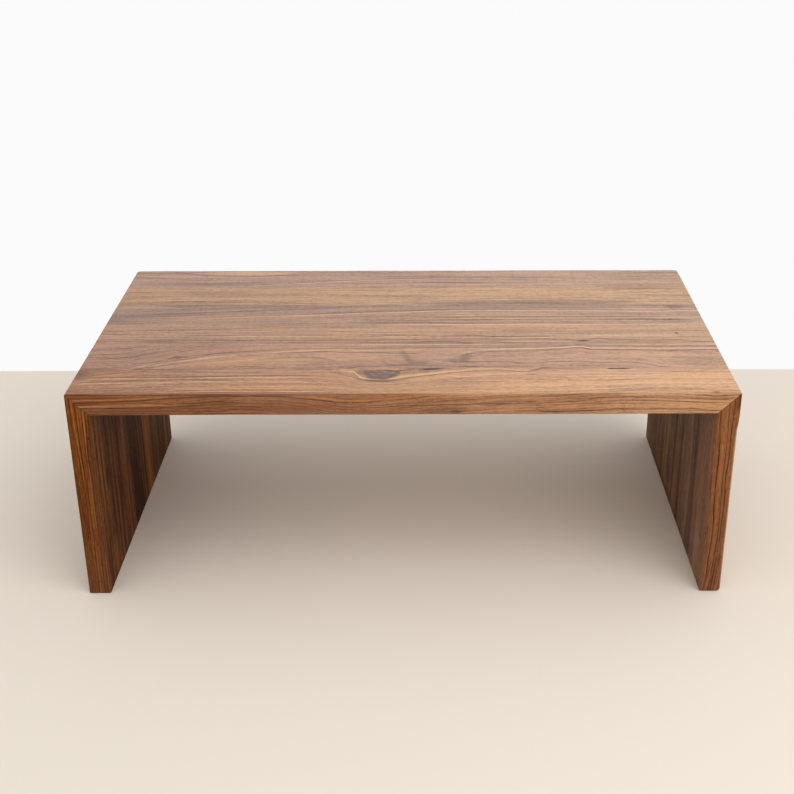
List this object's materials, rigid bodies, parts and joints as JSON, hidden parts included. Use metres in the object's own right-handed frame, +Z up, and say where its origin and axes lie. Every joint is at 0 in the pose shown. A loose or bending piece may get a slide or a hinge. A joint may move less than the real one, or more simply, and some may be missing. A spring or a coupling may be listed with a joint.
{
  "type": "coffee table",
  "caption": "Low waterfall coffee table in solid walnut: a glued-up top that turns down at both ends into full-depth slab legs, with mitred corners and eased edges.",
  "frame": {"origin": "on the floor under the middle of the table", "axes": "+X along the length towards the right leg, +Y towards the rear, +Z up"},
  "size_m": [1.1176, 0.6096, 0.3873],
  "materials": {
    "walnut_golden": "oiled walnut, golden brown, satin",
    "walnut_pink": "oiled walnut, pinkish brown, satin",
    "walnut_grey": "oiled walnut, purple-grey brown, satin",
    "walnut_leg": "oiled walnut, dark red-brown, satin",
    "tenon_beech": "bare compressed beech"
  },
  "bodies": {
    "root": {"top_board_1": "walnut_golden", "top_board_2": "walnut_pink", "top_board_3": "walnut_golden", "top_board_4": "walnut_grey", "top_board_5": "walnut_golden", "top_board_6": "walnut_grey", "left_leg_board_1": "walnut_leg", "left_leg_board_2": "walnut_leg", "left_leg_board_3": "walnut_leg", "left_leg_board_4": "walnut_leg", "left_leg_board_5": "walnut_leg", "left_leg_board_6": "walnut_leg", "right_leg_board_1": "walnut_leg", "right_leg_board_2": "walnut_leg", "right_leg_board_3": "walnut_leg", "right_leg_board_4": "walnut_leg", "right_leg_board_5": "walnut_leg", "right_leg_board_6": "walnut_leg", "left_mitre_tenon_1": "tenon_beech", "left_mitre_tenon_2": "tenon_beech", "left_mitre_tenon_3": "tenon_beech", "left_mitre_tenon_4": "tenon_beech", "left_mitre_tenon_5": "tenon_beech", "left_mitre_tenon_6": "tenon_beech", "right_mitre_tenon_1": "tenon_beech", "right_mitre_tenon_2": "tenon_beech", "right_mitre_tenon_3": "tenon_beech", "right_mitre_tenon_4": "tenon_beech", "right_mitre_tenon_5": "tenon_beech", "right_mitre_tenon_6": "tenon_beech"}
  },
  "joints": []
}
